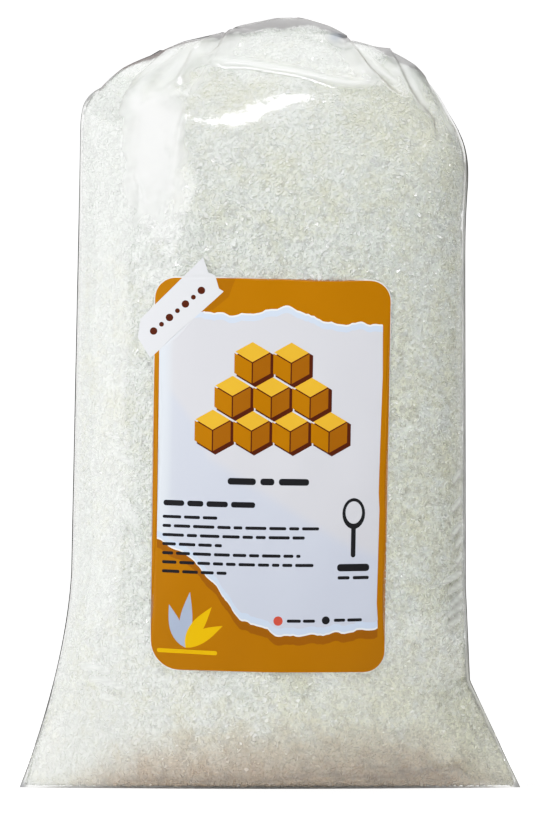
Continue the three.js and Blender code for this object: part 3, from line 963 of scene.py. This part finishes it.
def mouth_flap():
    """The flap as one closed sheet: its outer side is pleated, and its inner side follows the bag."""
    across, down = np.meshgrid(np.linspace(-1, 1, FLAP_COLUMNS + 1), np.linspace(0, 1, FLAP_ROWS + 1))
    half = FLAP_HALF_TOP + (FLAP_HALF_BOTTOM - FLAP_HALF_TOP) * down
    x = FLAP_MIDDLE * (1 - 0.4 * down) + across * half * (1 - 0.35 * ramp(down, 0.12))
    z = FLAP_TOP - (FLAP_TOP - FLAP_BOTTOM) * down + 0.5 * np.sin(across * 5.0) * down
    edge = 1.0 - np.abs(across) ** 8
    y = skin_depth(x, z) + FLAP_LIFT
    # The pleats are sharp near the neck and soft at the cut end.
    fine = np.abs(np.sin(across * 9.5 + 0.7 * np.sin(down * 2.0)))
    pleats = 0.55 * fine**0.6 * (1.0 - 0.55 * down) + 0.25 * np.sin(across * 4.1 + 1.1)
    outer = np.stack([x, y + FLAP_THICKNESS + edge * (0.5 + pleats), z], axis=2)
    inner = np.stack([x, y, z], axis=2)
    count = FLAP_COLUMNS + 1
    points = np.concatenate([outer.reshape(-1, 3), inner.reshape(-1, 3)])
    other = (FLAP_ROWS + 1) * count
    faces, corners = grid(FLAP_ROWS, FLAP_COLUMNS, count, 0.0, FLAP_MAP)
    inner_side = grid(FLAP_ROWS, FLAP_COLUMNS, count, 0.5, FLAP_MAP, other, True)
    faces, corners = faces + inner_side[0], corners + inner_side[1]
    # The rim, all the way round.
    loop = list(range(FLAP_COLUMNS + 1))
    loop += [row * count + FLAP_COLUMNS for row in range(1, FLAP_ROWS + 1)]
    loop += [FLAP_ROWS * count + i for i in range(FLAP_COLUMNS - 1, -1, -1)]
    loop += [row * count for row in range(FLAP_ROWS - 1, 0, -1)]
    for step, (a, b) in enumerate(zip(loop, loop[1:] + loop[:1])):
        faces.append((b, a, other + a, other + b))
        left, right = step / len(loop), (step + 1) / len(loop)
        corners.append(((right, 0.99), (left, 0.99), (left, 1.0), (right, 1.0)))
    mesh = mapped_mesh("mouth_flap", points, faces, corners)
    mesh.shade_smooth()
    lines = 0.35 + 0.25 * fine**8 + 0.3 * ease(down, 0.94, 1.0)
    paint_haze_and_light(mesh, np.full((*lines.shape, 3), 0.62), lines)
    return mesh


flap = placed("mouth_flap", mouth_flap())
flap.data.materials.append(clear_film("mouth_film", 0.08))
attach(flap, "root")


# -----------------------------------------------------------------------------
# The label: a coated paper sticker, die-cut to a rounded rectangle with a torn strip across its top left
# corner. Its print is flat fields of ink, drawn across and up from the middle of the rectangle.

LABEL_MIDDLE = (0.05, 92.4)
LABEL_TURN = math.radians(-0.87)
LABEL_HALF = (35.1, 58.5)
LABEL_CORNER = 6.2
LOW_LEFT_CORNER = 8.5  # this corner is curled back a little, and looks rounder
LABEL_TAPER, LABEL_BOW = 0.0064, 1.1
LABEL_STEP = 1.5
DIE_CUT = 0.22

INKS = {
    "edge": (0.86, 0.85, 0.82),
    "orange": (0.44, 0.157, 0.0003),
    "deep_orange": (0.32, 0.1, 0.002),
    "shaded_orange": (0.37, 0.127, 0.001),
    "light_orange": (0.82, 0.42, 0.03),
    "paper": (0.575, 0.615, 0.735),
    "tape": (0.72, 0.74, 0.79),
    "torn_band": (0.58, 0.68, 0.88),
    "torn_edge": (0.84, 0.87, 0.9),
    "brown": (0.075, 0.012, 0.003),
    "black": (0.012, 0.012, 0.014),
    "grey_blue": (0.38, 0.45, 0.6),
    "yellow": (0.85, 0.47, 0.002),
    "red": (0.6, 0.08, 0.05),
    "back": (0.85, 0.85, 0.83),
}


def arc(middle, radius, start, end, steps):
    turns = [math.radians(start + (end - start) * i / steps) for i in range(steps + 1)]
    return [(middle[0] + radius * math.cos(t), middle[1] + radius * math.sin(t)) for t in turns]


def rounded(left, bottom, right, top, corner, steps=3, low_left=None):
    """A rectangle with round corners, the one low on the left with a radius of its own."""
    other = low_left or corner
    return (
        arc((right - corner, bottom + corner), corner, -90, 0, steps)
        + arc((right - corner, top - corner), corner, 0, 90, steps)
        + arc((left + corner, top - corner), corner, 90, 180, steps)
        + arc((left + other, bottom + other), other, 180, 270, steps)
    )


def moved(points, x, y, turn=0.0, scale=1.0):
    """Points turned by some degrees, scaled, and moved."""
    c, s = math.cos(math.radians(turn)) * scale, math.sin(math.radians(turn)) * scale
    return [(x + c * a - s * b, y + s * a + c * b) for a, b in points]


def torn(anchors, seed, step=0.9, jag=0.2):
    """A torn edge through some anchor points, broken into short uneven steps."""
    rough = np.random.default_rng(seed)
    line = np.array(anchors, float)
    along = np.concatenate(([0.0], np.cumsum(np.hypot(*np.diff(line, axis=0).T))))
    wanted = np.arange(0.0, along[-1], step)
    x, y = np.interp(wanted, along, line[:, 0]), np.interp(wanted, along, line[:, 1])
    y = y + rough.uniform(-jag, jag, len(x)) + 0.25 * np.sin(wanted * 0.9 + seed)
    return list(zip(x.tolist(), y.tolist())) + [tuple(anchors[-1])]


half_w, half_h = LABEL_HALF
card = rounded(-half_w, -half_h, half_w, half_h, LABEL_CORNER, 8, LOW_LEFT_CORNER)
print_area = rounded(
    -half_w + DIE_CUT, -half_h + DIE_CUT, half_w - DIE_CUT * 0.7, half_h - DIE_CUT * 1.6,
    LABEL_CORNER - DIE_CUT, 8, LOW_LEFT_CORNER - DIE_CUT,
)
PANEL_LEFT, PANEL_RIGHT = -33.4, 32.7
right_side = [
    (32.9, 30.0), (32.7, 20.0), (32.45, 6.0), (32.3, -5.0), (32.6, -10.0), (32.45, -25.0), (32.3, -38.0),
]
top_tear = torn(
    [(PANEL_LEFT, 47.4), (-21, 48.3), (-12, 47.2), (-5, 47.8), (0, 49.0), (4, 50.3), (9, 48.3), (13, 46.6),
     (19.6, 44.7), (26, 45.6), (PANEL_RIGHT, 44.9)], 4
)
low_tear = torn(
    [(PANEL_RIGHT, -45.6), (24, -46.3), (12, -47.3), (3, -47.4), (-2, -44.6), (-8, -43.2), (-12, -38.2),
     (-14.6, -34.2), (-19.5, -29.2), (-22.8, -25.2), (-28.5, -22.4), (PANEL_LEFT, -19.8)], 9
)


class Print:
    """The printed fields, later ones lying over earlier ones."""

    def __init__(self):
        self.shapes = []

    def put(self, ink, points):
        turning = sum(a[0] * b[1] - b[0] * a[1] for a, b in zip(points, points[1:] + points[:1]))
        self.shapes.append((ink, points if turning > 0 else points[::-1]))

    def words(self, x, y, height, lengths, gap=0.9):
        """Round-ended bars in a row, where a line of print stands."""
        for length in lengths:
            self.put("black", rounded(x, y - height / 2, x + length, y + height / 2, height * 0.42))
            x += length + gap


printed = Print()
printed.put("edge", card)
printed.put("orange", print_area)
printed.put("deep_orange", moved(low_tear, 0.0, -2.6) + low_tear[::-1])
printed.put("torn_edge", top_tear + right_side + low_tear)
printed.put("torn_band", moved(top_tear, 0.0, -0.5) + right_side + moved(low_tear, 0.0, 0.5))
printed.put("paper", moved(top_tear, 0.0, -2.2) + right_side + moved(low_tear, 0.0, 2.4))


def cube(x, y, size):
    """A sugar cube seen from one corner, with a brown shadow to the right of and below it."""
    ring = [(size * math.cos(math.radians(a)), size * math.sin(math.radians(a))) for a in range(30, 390, 60)]
    printed.put("brown", moved(ring, x + 0.9, y - 0.8))
    gap = 0.93
    for start, ink in ((0, "light_orange"), (2, "orange"), (4, "deep_orange")):
        side = [(0, 0), ring[start % 6], ring[(start + 1) % 6], ring[(start + 2) % 6]]
        middle = (sum(p[0] for p in side) / 4, sum(p[1] for p in side) / 4)
        shrunk = [(middle[0] + (a - middle[0]) * gap, middle[1] + (b - middle[1]) * gap) for a, b in side]
        printed.put(ink, moved(shrunk, x, y))


CUBE = 6.4
for row, number in enumerate((4, 3, 2)):
    for i in range(number):
        cube((i - (number - 1) / 2) * CUBE * 1.8, 12.9 + row * CUBE * 1.58, CUBE)

# Bars for the lines of print.
printed.words(-12.6, -2.0, 2.0, (8.4, 4.2, 9.0), gap=1.3)
printed.words(-31.6, -8.9, 1.7, (6.2, 4.8, 6.4, 7.2))
lines = np.random.default_rng(21)
for row, end in enumerate((-16.5, 15.0, 11.0, -14.5, 8.4, 12.3, -13.5)):
    x, y = -31.8, -13.0 - 2.7 * row
    words = []
    while x < end:
        words.append(min(float(lines.uniform(2.2, 6.5)), end - x + 1.0))
        x += words[-1] + 0.8
    printed.words(-31.8, y, 0.95, words, gap=0.8)

# A spoon, and two short lines under it.
bowl = [(3.4 * math.cos(t / 12 * math.pi), 4.6 * math.sin(t / 12 * math.pi)) for t in range(24)]
printed.put("black", moved(bowl, 25.0, -11.2))
printed.put("paper", moved(bowl, 25.0, -10.9, 0, 0.72))
printed.put("black", rounded(24.3, -24.2, 25.7, -15.0, 0.65))
printed.words(20.3, -27.2, 2.2, (9.6,))
printed.words(20.5, -30.2, 1.0, (3.6, 4.8))


def leaf(turn, length, ink):
    """One blade of a leaf, from the foot that all of them share."""
    one = [(length * i / 10, 2.4 * math.sin(math.pi * (i / 10) ** 0.8)) for i in range(11)]
    other = [(a, -b * 0.6) for a, b in one[1:-1]][::-1]
    printed.put(ink, moved(one + other, -24.5, -51.6, turn))


leaf(112, 13.5, "grey_blue")
leaf(86, 16.5, "grey_blue")
leaf(58, 14.5, "yellow")
leaf(32, 13.0, "yellow")
printed.put("yellow", rounded(-33.0, -53.4, -15.0, -52.2, 0.55))
printed.put("red", arc((3.0, -42.9), 1.4, 0, 345, 20))
printed.words(5.6, -42.9, 0.95, (4.2, 3.6), gap=0.6)
printed.put("black", arc((17.2, -42.7), 1.2, 0, 345, 20))
printed.words(19.6, -42.7, 0.95, (3.4, 4.4), gap=0.6)

# The strip at the corner, cut at one end and torn at the other, with a row of brown dots.
STRIP_PLACE, STRIP_TURN = (-27.8, 48.6), 41.0
strip = moved(
    [(-15.8, -5.5), (4.5, -4.8), (13.6, -4.5), (13.1, -2.9), (14.8, 0.8), (13.8, 2.7), (15.5, 7.2),
     (-10.4, 5.3), (-14.6, 1.6)], *STRIP_PLACE, STRIP_TURN,
)
shade = [(-16.9, 58.1), (-11.0, 58.1), (-11.9, 55.9), (-13.0, 52.6), (-17.7, 48.6)]
printed.put("shaded_orange", strip[1:4] + shade)
printed.put("tape", strip)
for i in range(7):
    radius = 0.75 if i % 2 else 1.15
    middle = moved([(-9.8 + 3.1 * i, 0.0)], *STRIP_PLACE, STRIP_TURN)[0]
    printed.put("brown", arc(middle, radius, 0, 340, 16))


BESIDE, ABOVE = 6, 4  # the grid reaches past the rectangle by this, as the strip does
OFF_GRID = (0.011, 0.013)  # keeps the points of the grid off the printed edges


def label_mesh():
    """The sheet, cut along every printed edge, with a grid of points so that it can bend."""
    points, faces, inks = [], [], []
    for ink, outline in printed.shapes:
        first = len(points)
        points.extend(outline)
        faces.append(list(range(first, len(points))))
        inks.append(ink)
    steps_x, steps_y = int(2 * (half_w + BESIDE) / LABEL_STEP), int(2 * (half_h + ABOVE) / LABEL_STEP)
    for i in range(steps_x + 1):
        for j in range(steps_y + 1):
            x, y = -half_w - BESIDE + i * LABEL_STEP, -half_h - ABOVE + j * LABEL_STEP
            points.append((x + OFF_GRID[0], y + OFF_GRID[1]))
    cut = delaunay_2d_cdt([Vector(p) for p in points], [], faces, 1, 1e-4)
    return np.array([list(p) for p in cut[0]]), cut[2], [inks[max(owners)] for owners in cut[5]]


flat, triangles, tops = label_mesh()


def on_bag(flat, lift):
    """Places on the sheet carried to the front of the bag."""
    c, s = math.cos(LABEL_TURN), math.sin(LABEL_TURN)
    low = 1.0 - flat[:, 1] / half_h
    across = flat[:, 0] * (1.0 - LABEL_TAPER * low)
    up = flat[:, 1] + LABEL_BOW * (flat[:, 0] / half_w) ** 2 * low / 2.0
    x = LABEL_MIDDLE[0] + c * across - s * up
    z = LABEL_MIDDLE[1] + s * across + c * up
    bend = front_relief(x, z).height
    return np.stack([x, -(skin_depth(x, z) + lift + bend), z], axis=1)


SHEET_BACK, SHEET_FRONT = 0.15, 0.4  # how far off the film
count = len(flat)
sheet = [tuple(t) for t in triangles]
edges = {(a, b) for t in sheet for a, b in zip(t, t[1:] + t[:1])}
rim = [(a, b) for a, b in edges if (b, a) not in edges]
rim.sort()
faces = sheet + [tuple(count + v for v in reversed(t)) for t in sheet]
faces += [(b, a, count + a, count + b) for a, b in rim]
share = flat / (2 * half_h + 12.0)
corners = [[share[v] + (0.3, 0.5) for v in t] for t in sheet]
corners += [[share[v] * 0.3 + (0.8, 0.25) for v in reversed(t)] for t in sheet]
corners += [[(0.99, 0.9), (0.985, 0.9), (0.985, 0.905), (0.99, 0.905)] for _ in rim]
both_sides = np.concatenate([on_bag(flat, SHEET_FRONT), on_bag(flat, SHEET_BACK)])
mesh = mapped_mesh("printed_label", both_sides, faces, corners)
SHADE_LINE = (
    (-30.1, 24.2), (-22.4, 13.7), (-18.5, 4.5), (-3.0, -5.1), (12.5, -14.6), (22.7, -20.6), (33.7, -25.1),
)
WARM_PAPER, PALE_PAPER = (1.1, 1.04, 0.95), (1.2, 1.24, 1.17)
LOW_SHADE = 0.12  # the sheet leans away from the light towards its foot


def paper_tone(spot):
    """The paper tone is warmer above a slanting line, cooler below it, and pale along the left side."""
    warm = ease(spot[1] - line_height(spot[0], SHADE_LINE), -2.0, 3.0)
    pale = ease(spot[0], -28.5, -32.0) * ease(spot[1], 44.0, 40.0)
    tone = [1.0 + (w - 1.0) * warm for w in WARM_PAPER]
    return [t + (p - t) * pale for t, p in zip(tone, PALE_PAPER)]


ink = mesh.attributes.new("ink", "FLOAT_COLOR", "CORNER")
tints = []
for name, triangle in zip(tops, sheet):
    for v in triangle:
        tone = paper_tone(flat[v]) if name == "paper" else (1.0, 1.0, 1.0)
        darker = 1.0 - LOW_SHADE * ease(flat[v][1], 30.0, -half_h)
        tints.append([a * b * darker for a, b in zip(INKS[name], tone)] + [1.0])
tints += [[*INKS["back"], 1.0]] * (3 * len(sheet)) + [[*INKS["edge"], 1.0]] * (4 * len(rim))
ink.data.foreach_set("color", np.array(tints, np.float32).ravel())
sticker = placed("printed_label", mesh)


def coated_paper():
    made = Finish("coated_paper")
    ink = made.stored("ink")
    wave = made.noise(made.place()[0], 55.0)
    bump = made.node("Bump", Strength=0.25, Distance=0.0008, Height=wave)
    gloss = {"Roughness": 0.4, "Specular_IOR_Level": 0.06}
    return made.close(made.node("BsdfPrincipled", Base_Color=ink, Normal=bump, **gloss))


sticker.data.materials.append(coated_paper())
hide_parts("label")
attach(sticker, "root")
